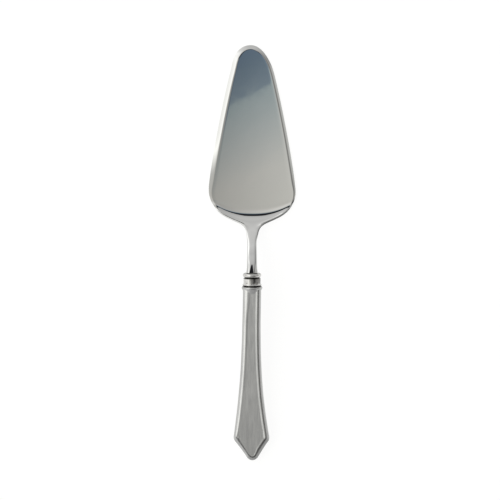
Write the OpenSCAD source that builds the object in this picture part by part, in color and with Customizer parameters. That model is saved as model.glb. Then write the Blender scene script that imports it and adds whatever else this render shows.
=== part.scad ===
// Cake server: a forged steel blade whose shank and tang are set in a hollow cast pewter handle
// through a turned collar. Millimetres, +Z up, +Y towards the tip of the blade. It lies on the
// table as it does when put down, on the flat of the blade and the end of the handle, and the
// origin is on the table under the middle of its length.

/* [Blade] */
// Length from the tip to the middle of the heel crease
blade_l = 113.9; // [100:0.1:130]
// Width at the widest line
blade_w = 58.6; // [52:0.2:68]
// Thickness of the plate
plate_t = 1.8; // [1.4:0.1:2.4]
// Thickness left at the ground edge
edge_t = 0.7; // [0.4:0.1:1.1]
// Width of the ground border, seen from above
rim_w = 3.2; // [2.4:0.1:4.4]
// Length of the rounded tip
tip_l = 21.4; // [17:0.2:26]
// Width where the rounded tip meets the sides
tip_w = 31; // [27:0.5:35]
// Distance from the widest line back to the middle of the heel crease
heel_l = 15.7; // [13.5:0.1:18]
// Width where the round corners of the heel end
shoulder_w = 36.5; // [32:0.5:41]
// Distance from the widest line back to those points
shoulder_l = 17.4; // [15.6:0.2:19.4]
// Depth of the arc that the heel crease follows
heel_bow = 5.7; // [4:0.1:7]

/* [Shank] */
// Length from the heel crease to the collar, seen from above
shank_l = 39.7; // [35:0.1:45]
// Distance from the heel crease to where the shoulders have run out
neck_l = 12.1; // [10.5:0.1:14]
// Width where the shoulders have run out
neck_w = 8.2; // [7.2:0.1:9.4]
// Thickness there
neck_t = 3.2; // [2.6:0.1:3.8]
// Width at the narrowest place
shank_w = 6.1; // [5.4:0.1:6.8]
// Thickness from the narrowest place to the flare
shank_t = 4.8; // [4.2:0.1:5.4]
// Width where the flare begins
shank_end_w = 6.8; // [6.2:0.1:7.4]
// Diameter of the flare's foot on the collar
flare_d = 8.2; // [7.8:0.1:8.8]
// Length of the flare
flare_l = 6.4; // [5:0.2:8]
// Angle at which the shoulder rises from the plate
heel_angle = 22; // [18:1:26]
// Bend radius of the heel crease
heel_r = 6; // [5:0.1:7]

/* [Tang] */
// Diameter of the tang's root, in the collar
root_d = 5; // [4.6:0.1:5.4]
// Width of the flat tang
tang_w = 4.6; // [4:0.1:5]
// Thickness of the flat tang
tang_t = 2.4; // [1.8:0.1:2.8]
// Length of the flat tang inside the handle
tang_l = 58; // [46:1:68]
// Length of a notch that keys the tang in its cement
notch_l = 6; // [4:0.5:8]
// Depth of such a notch on each side
notch_d = 0.9; // [0.6:0.1:1.2]

/* [Collar] */
// Length of the collar along the handle's axis
collar_l = 9.1; // [8.4:0.1:10.4]
// Diameter of the round bead against the shank
crown_d = 12.4; // [12:0.1:13.2]
// Height of that bead
crown_h = 3.5; // [3:0.1:3.9]
// Diameter of the waist
waist_d = 11.4; // [11:0.1:11.8]
// Diameter of the foot against the handle
foot_d = 13.1; // [12.8:0.1:13.8]
// Height of the foot's rounded rim
foot_h = 1.1; // [0.9:0.1:1.4]
// Radius of the cove above the foot
cove_r = 0.8; // [0.5:0.1:0.9]
// Width of the turned groove under the bead
groove_w = 0.6; // [0.3:0.1:0.8]
// Depth of the turned groove, from the waist
groove_d = 0.6; // [0.4:0.1:0.9]
// Diameter of the spigot that plugs into the handle
spigot_d = 7; // [6.6:0.1:7.4]
// Length of the spigot
spigot_l = 5; // [4:0.2:7]
// Clearance on each side of a round fit
fit_gap = 0.1; // [0.05:0.01:0.2]

/* [Handle] */
// Length from the collar to the end of the handle
handle_l = 117.8; // [105:0.1:130]
// Angle at which the handle slopes down to the table
handle_tilt = 6; // [5:0.25:8]
// Width at the throat, under the flared lip
throat_w = 12.3; // [11.8:0.1:13]
// Thickness at the throat
throat_t = 10.8; // [10.2:0.1:11.6]
// Width across the points of the shield
shield_w = 24; // [21:0.1:27]
// Thickness at the end of the shield
shield_t = 7.6; // [7.2:0.1:8.4]
// Length of the shield's foot, from its points to the end
shield_l = 15; // [13:0.2:17]
// Width of the rounded lobe at the end
lobe_w = 8.6; // [7.8:0.1:9.6]
// Length of that lobe
lobe_l = 3.3; // [2.8:0.1:3.8]
// Width of the bevel round each face
bevel_w = 2.5; // [2:0.1:2.8]
// Fall of the bevel
bevel_h = 1.7; // [1.4:0.1:2.1]
// How far the bevel swells out from a flat one
bevel_swell = 0.3; // [0.1:0.05:0.5]
// Width of the raised border inside the bevel
border_w = 1.1; // [0.7:0.1:1.3]
// Depth of the panel under the border's crest
panel_d = 0.35; // [0.2:0.05:0.6]
// Diameter of the flared lip against the collar
lip_d = 13.9; // [13.4:0.1:14.6]
// Length of that lip
lip_l = 3.5; // [3:0.1:4.2]
// Radius of its rim
lip_r = 0.8; // [0.6:0.05:1]
// Wall of the hollow casting
wall = 1.4; // [1:0.1:1.6]
// Thickness of the solder between the two halves
seam_t = 0.3; // [0.2:0.05:0.5]

/* [Hidden] */
$fn = 64;
// How far a cut runs past what it cuts, and a joined piece into what it joins
overrun = 1;

// How the tip's curve leaves the middle line and meets the side
tip_round_share = 0.48;
tip_lead_share = 0.56;
// The side's slope at the tip against its mean slope, and how long it holds it at each end
side_slope_share = 1.35;
side_lead_share = 0.39;
side_trail_share = 0.1;
// The round corner of the heel: how long it holds the side, then the shoulder
corner_lead_share = 0.43;
corner_trail_share = 0.35;
// Slope of the shoulder, and how long its curve holds it before it turns into the shank
shoulder_slope_share = 0.66;
shoulder_lead_share = 0.59;
neck_trail_share = 0.385;
neck_swell_share = 0.1;
neck_lead_share = 0.33;
// Where the shank is narrowest, between the neck and the collar, and how long its curve holds that
narrow_share = 0.35;
narrow_trail_share = 0.5;
// How flat the heel crease's arc is in the middle: 2 is a parabola
bow_power = 2.4;
// The widest that the ground border gets on a narrow section
rim_max_share = 0.34;
// Height of the small flat on each side of the shank's rounded section
shank_side_share = 0.24;
// The flats along the heel's bend, the shank's arch and its flare, and across the blade
heel_steps = 4;
arch_steps = 40;
flare_steps = 6;
across = 10;
// How the shank's arch leaves the shoulder and meets the collar
arch_lead_share = 0.42;
arch_trail_share = 0.4;
// Where the notches are along the tang, and the taper of its end
notch_shares = [0.3, 0.66];
tang_end_share = 0.5;
// How the handle's side swells from the throat to the shield, and its slope there
side_hold_share = 0.64;
swell_share = 0.32;
swell_slope_share = 2.25;
// The cut of the shield's points, as a share of the bevel and border that turn round them
point_cut_share = 0.29;
// How the shield's foot draws in from its points to the lobe
foot_draw_shares = [0.29, 0.275];
lobe_draw_shares = [0.13, 0.14];
lobe_round_share = 0.5;
// The flats that the bevel is made of
bevel_steps = 3;
// Turn of the lip's rim, in degrees, and the flats that it is made of
lip_turn = 115;
lip_steps = 8;
// How far the cavity's corner lies in from the bevel's, of the wall
cavity_lean_share = 0.41;

// The points of a cubic curve after its first one
function curve(a, b, c, d, n) =
    [for (i = [1 : n]) let (t = i / n, s = 1 - t)
        s * s * s * a + 3 * s * s * t * b + 3 * s * t * t * c + t * t * t * d];

// Half of the blade's outline from the tip back to the collar, as [half width, distance from the tip]
widest_l = blade_l - heel_l;
collar_at = blade_l + shank_l;
flare_at = collar_at - flare_l;
neck_at = blade_l + neck_l;
narrow_at = neck_at + narrow_share * (flare_at - neck_at);
tip_end = [tip_w / 2, tip_l];
widest = [blade_w / 2, widest_l];
shoulder = [shoulder_w / 2, widest_l + shoulder_l];
neck = [neck_w / 2, neck_at];
narrow = [shank_w / 2, narrow_at];
side_run = widest_l - tip_l;
side_dir = [side_slope_share * (widest.x - tip_end.x) / side_run, 1];
shoulder_dir = [-1, shoulder_slope_share];
shoulder_run = shoulder.x - neck.x;
narrow_run = narrow_at - neck_at;
tip_curve = curve([0, 0], [tip_round_share * tip_end.x, 0],
    tip_end - tip_lead_share * tip_l * side_dir, tip_end, 9);
side_curve = curve(tip_end, tip_end + side_lead_share * side_run * side_dir,
    widest - [0, side_trail_share * side_run], widest, 10);
corner_curve = curve(widest, widest + [0, corner_lead_share * shoulder_l],
    shoulder - corner_trail_share * shoulder_l * shoulder_dir, shoulder, 24);
shoulder_curve = curve(shoulder, shoulder + shoulder_lead_share * shoulder_run * shoulder_dir,
    neck + [neck_swell_share * shoulder_run, -neck_trail_share * neck_l], neck, 24);
neck_curve = curve(neck, neck + neck_lead_share * narrow_run * [-neck_swell_share, 1],
    narrow - [0, narrow_trail_share * narrow_run], narrow, 8);
function flare_swell(s) = s * s * s;
flare_curve = [for (i = [0 : flare_steps]) let (s = i / flare_steps)
    [shank_end_w / 2 + (flare_d - shank_end_w) / 2 * flare_swell(s), flare_at + s * flare_l]];
blade_outline = concat(tip_curve, side_curve, corner_curve, shoulder_curve, neck_curve, flare_curve);
half_width_table = [for (p = blade_outline) [p.y, p.x]];
function half_width(d) = lookup(d, half_width_table);

// Lines across the blade, by the distance from the tip at which each meets the outline. From the
// widest line to the neck they bow back in the middle, and one of them is the heel crease.
function smooth(s) = let (c = max(0, min(1, s))) c * c * (3 - 2 * c);
crease_side = blade_l - heel_bow;
function bow(d) = heel_bow * (d < crease_side
    ? smooth((d - widest_l) / (crease_side - widest_l))
    : 1 - smooth((d - crease_side) / (neck_at - crease_side)));
heel_run = heel_r * sin(heel_angle);
heel_side = crease_side + heel_run;
function steps(from, to, n) = [for (i = [1 : n]) from + (to - from) * i / n];
lines = concat([for (p = tip_curve) p.y], [for (p = side_curve) p.y],
    steps(widest_l, crease_side, 7), steps(crease_side, heel_side, heel_steps),
    steps(heel_side, neck_at, 12), steps(neck_at, flare_at, 9),
    steps(flare_at, collar_at, flare_steps));

// The handle's axis: its joint with the collar lies where the back of the shield rests on the table
function half_t(u) = throat_t / 2 + (shield_t - throat_t) / 2 * u / handle_l;
rest_u = handle_l - bevel_w;
joint_z = rest_u * sin(handle_tilt) + half_t(rest_u) * cos(handle_tilt);
end_edge = half_t(handle_l) - bevel_h;
overall_l = collar_at + (collar_l + handle_l) * cos(handle_tilt) + end_edge * sin(handle_tilt);
tip_y = overall_l / 2;
joint_y = tip_y - collar_at - collar_l * cos(handle_tilt);
collar_z = joint_z + collar_l * sin(handle_tilt);
module on_handle_axis() translate([0, joint_y, joint_z]) rotate([handle_tilt, 0, 0]) children();
module turned() rotate([-90, 0, 0]) rotate_extrude() children();

// Height of the blade's middle along its length past the crease: the crease's bend, then an arch
heel_end = [heel_run, plate_t / 2 + heel_r * (1 - cos(heel_angle))];
arch_end = [shank_l, collar_z];
arch_run = shank_l - heel_run;
arch = concat([for (i = [0 : heel_steps]) let (a = heel_angle * i / heel_steps)
        [heel_r * sin(a), plate_t / 2 + heel_r * (1 - cos(a))]],
    curve(heel_end, heel_end + arch_lead_share * arch_run * [1, tan(heel_angle)],
        arch_end + arch_trail_share * arch_run * [-1, tan(handle_tilt)], arch_end, arch_steps));
function middle_z(q) = lookup(q, arch);
slope_reach = arch_run / arch_steps;
function slope(q) = q <= 0 ? 0
    : q >= shank_l ? -handle_tilt
    : let (a = max(0, q - slope_reach), b = min(shank_l, q + slope_reach))
      atan2(middle_z(b) - middle_z(a), b - a);

// Section of the blade on one line: a flat plate with a ground border becomes a rounded bar
thickness_table = concat([[blade_l, plate_t], [neck_at, neck_t], [narrow_at, shank_t]],
    [for (i = [0 : flare_steps]) let (s = i / flare_steps)
        [flare_at + s * flare_l, shank_t + (flare_d - shank_t) * flare_swell(s)]]);
function thickness(m) = lookup(m, thickness_table);
function rim(d) = d < widest_l ? rim_w : min(rim_w, rim_max_share * half_width(d));
function bar_share(v) = shank_side_share + (1 - shank_side_share) * sqrt(max(0, 1 - v * v));
function mix(a, b, f) = a * (1 - f) + b * f;
function section(i) =
    let (d = lines[i],
         ahead = lines[max(0, i - 1)],
         behind = lines[min(len(lines) - 1, i + 1)],
         dir = [half_width(behind) - half_width(ahead), behind - ahead],
         edge = [half_width(d), d],
         inner = edge + rim(d) * (d > widest_l ? [-1, 0] : [-dir.y, dir.x] / norm(dir)),
         m = d + bow(d), q = m - blade_l, t = thickness(m), z = middle_z(q), a = slope(q),
         f = smooth(q / neck_l),
         columns = concat([[-edge.x, edge.y, 0]],
             [for (k = [0 : across]) let (v = 2 * k / across - 1)
                 [v * inner.x, inner.y + bow(d) * (1 - pow(abs(v), bow_power)), 1]],
             [[edge.x, edge.y, 0]]))
    [for (up = [1, -1])
        for (k = up > 0 ? [0 : across + 2] : [across + 2 : -1 : 0])
            let (c = columns[k],
                 plate_h = up < 0 ? -plate_t / 2 : c.z == 1 ? plate_t / 2 : edge_t - plate_t / 2,
                 bar_h = up * t / 2 * bar_share(c.x / edge.x),
                 h = mix(plate_h, bar_h, f))
            [c.x, tip_y - c.y + h * sin(a), z + h * cos(a)]];

// The forged blade and shank: a skin over all the sections, closed at the tip and on the collar
module forging() {
    ring = 2 * (across + 3);
    last = len(lines) - 1;
    points = concat([[0, tip_y, edge_t], [0, tip_y, 0], [0, tip_y - rim_w, plate_t]],
        [for (i = [0 : last]) each section(i)]);
    function at(i, k) = 3 + i * ring + k % ring;
    right = across + 2;
    tip = concat([[0, 2, at(0, 1)], [0, at(0, 1), at(0, 0)], [2, 0, at(0, right - 1)],
        [0, at(0, right), at(0, right - 1)], [0, at(0, 0), at(0, ring - 1)], [0, at(0, ring - 1), 1],
        [0, 1, at(0, right + 1)], [0, at(0, right + 1), at(0, right)]],
        [for (k = [1 : right - 2]) [2, at(0, k + 1), at(0, k)]],
        [for (k = [right + 1 : ring - 2]) [1, at(0, k + 1), at(0, k)]]);
    skin = [for (i = [0 : last - 1], k = [0 : ring - 1]) each [
        [at(i, k), at(i, k + 1), at(i + 1, k + 1)], [at(i, k), at(i + 1, k + 1), at(i + 1, k)]]];
    foot = [[for (k = [0 : ring - 1]) at(last, k)]];
    polyhedron(points, concat(tip, skin, foot), convexity = 6);
}

// The tang that the shank ends in: a round root through the collar, then a notched flat bar
module tang() {
    root_l = collar_l + spigot_l;
    on_handle_axis() translate([0, collar_l, 0]) {
        rotate([90, 0, 0]) translate([0, 0, -overrun]) cylinder(d = root_d, h = root_l + overrun);
        translate([0, -root_l, -tang_t / 2]) linear_extrude(tang_t) difference() {
            half = tang_w / 2;
            end = tang_end_share * half;
            polygon([[-half, overrun], [half, overrun], [half, half - tang_l], [end, -tang_l],
                [-end, -tang_l], [-half, half - tang_l]]);
            for (s = notch_shares, side = [-1, 1]) translate([side * half, -s * tang_l])
                square([2 * notch_d, notch_l], center = true);
        }
    }
}

module blade() color("#b4b7b8") union() {
    forging();
    tang();
}

// The collar: a turned ring with a rounded crown, a waist and a coved foot, and a spigot below
module collar() color("#a3a29f") on_handle_axis() {
    bore_r = root_d / 2 + fit_gap;
    crown_r = crown_h / 2;
    foot_r = foot_h / 2;
    turned() difference() {
        union() {
            translate([0, -spigot_l]) square([spigot_d / 2, spigot_l + overrun]);
            square([waist_d / 2, collar_l - crown_r]);
            square([crown_d / 2 - crown_r, collar_l]);
            translate([crown_d / 2 - crown_r, collar_l - crown_r]) circle(crown_r);
            square([foot_d / 2 - foot_r, foot_h]);
            translate([foot_d / 2 - foot_r, foot_r]) circle(foot_r);
            difference() {
                square([waist_d / 2 + cove_r, foot_h + cove_r]);
                translate([waist_d / 2 + cove_r, foot_h + cove_r]) circle(cove_r);
            }
        }
        translate([0, -spigot_l - overrun]) square([bore_r, collar_l + spigot_l + 2 * overrun]);
        translate([waist_d / 2 - groove_d, collar_l - crown_h - groove_w])
            square([crown_d, groove_w]);
    }
}

// Half of the handle's outline from the joint to its end, as [half width, distance from the joint]
body_l = handle_l - shield_l;
throat = [throat_w / 2, lip_l / 2];
point = [shield_w / 2, body_l];
swell = (point.x - throat.x) / body_l * swell_slope_share;
body_in = point - swell_share * body_l * [swell, 1];
lobe = [lobe_w / 2, handle_l - lobe_l];
foot_out = point + [-foot_draw_shares[0] * (point.x - lobe.x), foot_draw_shares[1] * shield_l];
lobe_in = lobe + [lobe_draw_shares[0] * (point.x - lobe.x), -lobe_draw_shares[1] * shield_l];
lobe_dir = (lobe - lobe_in) / norm(lobe - lobe_in);
point_cut = point_cut_share * (bevel_w + border_w);
before_point = point - point_cut * (point - body_in) / norm(point - body_in);
after_point = point + point_cut * (foot_out - point) / norm(foot_out - point);
body_curve = curve(throat, [throat.x, side_hold_share * body_l], body_in, before_point, 18);
foot_curve = curve(after_point, foot_out, lobe_in, lobe, 8);
lobe_curve = curve(lobe, lobe + lobe_round_share * lobe_l * lobe_dir,
    [lobe_round_share * lobe.x, handle_l], [0, handle_l], 8);
handle_outline = concat([throat], body_curve, [after_point], foot_curve, lobe_curve);
handle_width_table = [for (p = concat([throat], body_curve)) [p.y, p.x]];

// A point of an outline moved inwards, square to both of its neighbouring edges
function inward(a, b) = let (e = (b - a) / norm(b - a)) [-e.y, e.x];
function inset(line, i, by) =
    let (n = len(line) - 1,
         first = i == 0 ? [-1, 0] : inward(line[i - 1], line[i]),
         second = i == 0 ? [-1, 0] : i == n ? [-first.x, first.y] : inward(line[i], line[i + 1]))
    line[i] + by * (first + second) / (1 + first * second);

// A closed body stacked from insets of an outline. Each level is [inset, depth under the handle's
// faces, side], from the back face to the front, and the body ends flat across its first points.
module stack(line, levels) {
    n = len(line) - 1;
    m = len(levels);
    function spot(i, j, side) = let (l = levels[j], p = inset(line, i, l[0]))
        [side * p.x, -p.y, l[2] * (half_t(p.y) - l[1])];
    points = concat(
        [for (i = [0 : n - 1], side = [1, -1], j = [0 : m - 1]) spot(i, j, side)],
        [for (j = [0 : m - 1]) spot(n, j, 1)]);
    function right(i, j) = i == n ? 2 * n * m + j : 2 * i * m + j;
    function left(i, j) = i == n ? right(n, j) : right(i, j) + m;
    function quad(a, b, c, d) = [[a, c, b], [a, d, c]];
    walls = [for (i = [0 : n - 1], j = [0 : m - 2]) each concat(
        quad(right(i, j), right(i, j + 1), right(i + 1, j + 1), right(i + 1, j)),
        quad(left(i, j), left(i + 1, j), left(i + 1, j + 1), left(i, j + 1)))];
    faces = [for (i = [0 : n - 2]) each concat(
        quad(left(i, 0), right(i, 0), right(i + 1, 0), left(i + 1, 0)),
        quad(right(i, m - 1), left(i, m - 1), left(i + 1, m - 1), right(i + 1, m - 1)))];
    ends = [[right(n - 1, 0), left(n - 1, 0), right(n, 0)],
        [left(n - 1, m - 1), right(n - 1, m - 1), right(n, m - 1)]];
    mouth = [for (j = [0 : m - 2]) each
        quad(right(0, j), left(0, j), left(0, j + 1), right(0, j + 1))];
    polyhedron(points, concat(walls, faces, ends, mouth), convexity = 6);
}

// The space inside the casting, below the collar's spigot
cavity_line = concat([[lookup(spigot_l, handle_width_table), spigot_l]],
    [for (p = handle_outline) if (p.y > spigot_l) p]);
cavity_in = bevel_w + cavity_lean_share * wall;
cavity_corner = bevel_h + cavity_lean_share * wall;
module cavity() stack(cavity_line, [[cavity_in, panel_d + wall, -1], [wall, cavity_corner, -1],
    [wall, cavity_corner, 1], [cavity_in, panel_d + wall, 1]]);

// The swelling bevel from a face's crest out to the edge, as levels of the stack
bevel_out = [bevel_h, bevel_w] / norm([bevel_h, bevel_w]);
function bevel(side) = [for (i = [0 : bevel_steps])
    let (s = i / bevel_steps, out = 4 * s * (1 - s) * bevel_swell * bevel_out)
    [(1 - s) * bevel_w - out.x, s * bevel_h - out.y, side]];

// The flared lip's rounded rim, from its top to where it draws in to the throat
lip_rim = [for (i = [0 : lip_steps]) let (a = 90 - lip_turn * i / lip_steps)
    [lip_d / 2 - lip_r + lip_r * cos(a), -lip_r + lip_r * sin(a)]];

// The hollow handle before it is parted into its two cast halves
module casting() difference() {
    union() {
        stack(handle_outline, concat([[bevel_w + border_w, panel_d, -1]], bevel(-1),
            [for (i = [bevel_steps : -1 : 0]) bevel(1)[i]], [[bevel_w + border_w, panel_d, 1]]));
        turned() polygon(concat([[0, 0]], lip_rim, [[throat_w / 2, -lip_l], [0, -lip_l]]));
    }
    cavity();
    rotate([90, 0, 0]) translate([0, 0, -overrun])
        cylinder(d = spigot_d + 2 * fit_gap, h = spigot_l + 2 * overrun);
}

// A slab of the handle between two heights from the parting plane
module slab(low, high) translate([-shield_w, -handle_l - overrun, low])
    cube([2 * shield_w, handle_l + 2 * overrun, high - low]);

// The two cast halves, soldered together along the middle of the handle's edge
module handle_front() color("#a6a5a2") on_handle_axis() intersection() {
    casting();
    slab(seam_t / 2, throat_t);
}

module handle_back() color("#a6a5a2") on_handle_axis() intersection() {
    casting();
    slab(-throat_t, -seam_t / 2);
}

module solder_seam() color("#bdbcb8") on_handle_axis() intersection() {
    casting();
    slab(-seam_t / 2, seam_t / 2);
}

// The cement that fills the handle and holds the tang
module handle_filler() color("#6f675c") difference() {
    on_handle_axis() cavity();
    tang();
}

blade();
collar();
handle_front();
handle_back();
solder_seam();
handle_filler();
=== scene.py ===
import math

import bmesh
import bpy
import numpy as np
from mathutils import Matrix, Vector
from mathutils.geometry import interpolate_bezier


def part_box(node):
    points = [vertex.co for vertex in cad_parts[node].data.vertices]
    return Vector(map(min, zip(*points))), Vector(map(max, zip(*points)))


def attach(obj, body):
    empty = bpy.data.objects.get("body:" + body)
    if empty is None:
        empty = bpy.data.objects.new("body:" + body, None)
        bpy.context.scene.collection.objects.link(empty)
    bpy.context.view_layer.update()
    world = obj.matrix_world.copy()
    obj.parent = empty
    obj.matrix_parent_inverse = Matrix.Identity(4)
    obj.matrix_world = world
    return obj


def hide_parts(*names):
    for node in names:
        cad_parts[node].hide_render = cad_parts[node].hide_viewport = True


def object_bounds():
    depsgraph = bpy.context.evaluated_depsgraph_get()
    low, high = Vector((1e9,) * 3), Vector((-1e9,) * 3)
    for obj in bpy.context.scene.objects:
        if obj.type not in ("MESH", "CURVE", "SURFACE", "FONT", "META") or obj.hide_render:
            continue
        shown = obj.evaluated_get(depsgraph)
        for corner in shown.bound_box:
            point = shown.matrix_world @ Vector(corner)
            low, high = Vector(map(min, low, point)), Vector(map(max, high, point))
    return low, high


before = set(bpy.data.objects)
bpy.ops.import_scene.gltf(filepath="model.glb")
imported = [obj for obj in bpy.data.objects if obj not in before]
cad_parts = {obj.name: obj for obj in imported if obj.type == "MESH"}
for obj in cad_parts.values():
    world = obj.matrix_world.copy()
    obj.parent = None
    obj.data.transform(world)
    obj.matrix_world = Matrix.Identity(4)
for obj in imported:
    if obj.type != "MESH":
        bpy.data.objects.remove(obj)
cad_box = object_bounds()
scene = bpy.context.scene
scene.view_settings.view_transform = "Standard"

# Camera. The server lies on a white table and is seen from straight above, from about a metre away,
# so that the tip of the blade and the end of the handle are each seen some eight degrees off square.
MM = 0.001
photo_px = 500
server_px = 414.5
middle_px = (252, 252.5)
camera_height = 1000 * MM
pixel = (cad_box[1].y - cad_box[0].y) / server_px
camera_x = (photo_px / 2 - middle_px[0]) * pixel
camera_y = (middle_px[1] - photo_px / 2) * pixel
bpy.ops.object.select_all(action="DESELECT")
bpy.ops.object.camera_add(location=(camera_x, camera_y, camera_height), rotation=(0, 0, 0))
scene.camera = bpy.context.object
scene.camera.data.lens = scene.camera.data.sensor_width * camera_height / (photo_px * pixel)


# Studio. A white table under a grey ceiling, with a large soft box on the left and a dark flag that
# leans in beyond the tip. Polished steel is drawn by what it mirrors, so the room is painted by direction.
def linear(colour):
    """An sRGB hex colour as linear red, green, blue and alpha."""
    parts = [int(colour[i:i + 2], 16) / 255 for i in (1, 3, 5)]
    return [c / 12.92 if c <= 0.04045 else ((c + 0.055) / 1.055) ** 2.4 for c in parts] + [1]


def add_node(tree, kind, inputs=None, stops=None, **settings):
    """Adds a node: its settings, its sockets' constants or links, and a colour ramp's stops."""
    node = tree.nodes.new(kind)
    for name, value in settings.items():
        setattr(node, name, value)
    for socket, value in (inputs or {}).items():
        if isinstance(value, bpy.types.NodeSocket):
            tree.links.new(value, node.inputs[socket])
        else:
            node.inputs[socket].default_value = value
    if stops:
        elements = node.color_ramp.elements
        elements[0].position, elements[1].position = stops[0][0], stops[-1][0]
        for position, _ in stops[1:-1]:
            elements.new(position)
        for element, (_, colour) in zip(elements, stops):
            element.color = colour
    return node


def grey_stops(levels):
    """A colour ramp's stops from levels of grey, by how far a direction leans, from -1 to 1."""
    return [((lean + 1) / 2, [level] * 3 + [1]) for lean, level in levels]


# A direction is a unit vector, given by how far it leans to the right, towards the tip and upwards. The
# levels of grey run from left to right. Those of the ceiling:
ceiling_level = [(-1, 0.9), (-0.9, 1.15), (-0.78, 1.9), (-0.55, 2.6), (-0.36, 1.7), (-0.24, 1.15),
                 (-0.17, 1.05), (-0.1, 0.74), (-0.06, 0.68), (-0.03, 0.78), (0, 1), (0.03, 1.2), (0.06, 1.3),
                 (0.12, 1.1), (0.2, 0.7), (0.3, 0.38), (0.4, 0.4), (0.55, 0.95), (0.7, 1.25), (0.85, 0.9),
                 (1, 0.6)]
# The wall beyond the tip and where it takes over, and the part of it that is higher up and farther out
wall_level = [(-1, 2.0), (-0.6, 2.5), (-0.45, 2), (-0.3, 1.2), (-0.1, 1), (0.1, 0.97), (0.3, 0.85),
              (0.5, 0.72), (0.75, 0.45), (1, 0.4)]
wall_from, wall_to = 0.3, 0.45
high_wall_level = [(-1, 1), (-0.6, 1.2), (-0.45, 1.35), (-0.3, 1.12), (-0.1, 1), (0.1, 0.97), (0.3, 0.85),
                   (0.5, 0.72), (0.75, 0.6), (1, 0.5)]
high_from, high_to = 0.36, 0.46
beyond_from, beyond_to = 0.48, 0.6
# The room behind the handle and where it takes over, where it evens out, and its low part near the horizon
back_level = [(-1, 1.3), (-0.85, 1.5), (-0.7, 2.1), (-0.55, 2.7), (-0.36, 2.0), (-0.2, 1.2), (-0.06, 0.95),
              (0, 0.95), (0.12, 0.9), (0.25, 0.8), (0.33, 0.5), (0.42, 0.16), (0.55, 0.14), (0.65, 0.25),
              (0.75, 0.6), (1, 0.8)]
back_from, back_to = -0.05, -0.15
even_from, even_to = -0.38, -0.48
horizon_level = [(-1, 1.2), (-0.85, 1.15), (-0.7, 0.95), (-0.3, 0.6), (0, 0.6), (0.5, 0.46), (0.85, 0.7),
                 (1, 0.95)]
horizon_from, horizon_to = 0.66, 0.5
# Their colour from behind the handle to beyond the tip
room_colour = [(-1, "#808080"), (-0.85, "#4e4e4c"), (-0.7, "#444442"), (-0.52, "#484846"), (-0.46, "#8e8e8c"),
               (-0.4, "#d2d2d0"), (-0.2, "#e6e6e4"), (-0.06, "#e0dfdc"), (0, "#d5d3cf"), (0.03, "#d1d0cb"),
               (0.1, "#cfcfcc"), (0.42, "#cecece"), (0.5, "#d9d9d9"), (0.6, "#e2e2e2"), (0.7, "#e5e5e5"),
               (0.78, "#dfdfdf"), (0.85, "#e6e6e6"), (0.93, "#f0f0f0"), (1, "#e6e6e6")]
# The flag hangs in front of them: how far into it, its colour there and how much that covers, from its haze
# to its dark middle. Its near edge slants. Farther out it narrows and moves to the middle, and its left side
# is cut off.
flag = [(0.048, "#a4b1b4", 0), (0.1032, "#a4b1b4", 1), (0.1056, "#84939f", 1), (0.123, "#738493", 1),
        (0.138, "#6b7d92", 1), (0.2, "#2b2d30", 1), (0.25, "#26272a", 1)]
flag_from, flag_to = flag[0][0], flag[-1][0]
flag_end = (0.42, 0.48)
flag_slant, flag_slant_reach = 0.486, (-0.06, 0.2)
flag_middle, flag_half_width = (-0.15, -0.01), (0.27, 0.33)
flag_narrows, flag_narrow_to = (0.2, 0.42), 0.15
flag_cut, flag_left, flag_left_soft = (0.15, 0.27), (-0.05, -0.34), 0.015
scene.world = bpy.data.worlds.new("studio")
scene.world.use_nodes = True
tree = scene.world.node_tree
tree.nodes.clear()
looking = add_node(tree, "ShaderNodeTexCoord")
axes = add_node(tree, "ShaderNodeSeparateXYZ", {0: looking.outputs["Generated"]})
lean_x, lean_y, lean_up = axes.outputs["X"], axes.outputs["Y"], axes.outputs["Z"]
to_right = add_node(tree, "ShaderNodeMath", {0: lean_x, 1: 0.5, 2: 0.5}, operation="MULTIPLY_ADD")
to_tip = add_node(tree, "ShaderNodeMath", {0: lean_y, 1: 0.5, 2: 0.5}, operation="MULTIPLY_ADD")
ceiling = add_node(tree, "ShaderNodeValToRGB", {0: to_right.outputs[0]}, stops=grey_stops(ceiling_level))
low_wall = add_node(tree, "ShaderNodeValToRGB", {0: to_right.outputs[0]}, stops=grey_stops(wall_level))
high_wall = add_node(tree, "ShaderNodeValToRGB", {0: to_right.outputs[0]}, stops=grey_stops(high_wall_level))
high = add_node(tree, "ShaderNodeMapRange", {0: lean_up, 1: high_from, 2: high_to},
                interpolation_type="SMOOTHSTEP")
beyond = add_node(tree, "ShaderNodeMapRange", {0: lean_y, 1: beyond_from, 2: beyond_to})
high_beyond = add_node(tree, "ShaderNodeMath", {0: high.outputs[0], 1: beyond.outputs[0]},
                       operation="MULTIPLY")
tip_wall = add_node(tree, "ShaderNodeMix",
                    {0: high_beyond.outputs[0], 6: low_wall.outputs[0], 7: high_wall.outputs[0]},
                    data_type="RGBA")
far = add_node(tree, "ShaderNodeMapRange", {0: lean_y, 1: wall_from, 2: wall_to},
               interpolation_type="SMOOTHSTEP")
with_wall = add_node(tree, "ShaderNodeMix",
                     {0: far.outputs[0], 6: ceiling.outputs[0], 7: tip_wall.outputs[2]}, data_type="RGBA")
back_room = add_node(tree, "ShaderNodeValToRGB", {0: to_right.outputs[0]}, stops=grey_stops(back_level))
near = add_node(tree, "ShaderNodeMapRange", {0: lean_y, 1: back_from, 2: back_to},
                interpolation_type="SMOOTHSTEP")
with_back = add_node(tree, "ShaderNodeMix",
                     {0: near.outputs[0], 6: with_wall.outputs[2], 7: back_room.outputs[0]}, data_type="RGBA")
even = add_node(tree, "ShaderNodeMapRange", {0: lean_y, 1: even_from, 2: even_to},
                interpolation_type="SMOOTHSTEP")
across = add_node(tree, "ShaderNodeMix", {0: even.outputs[0], 6: with_back.outputs[2], 7: linear("#ffffff")},
                  data_type="RGBA")
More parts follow.
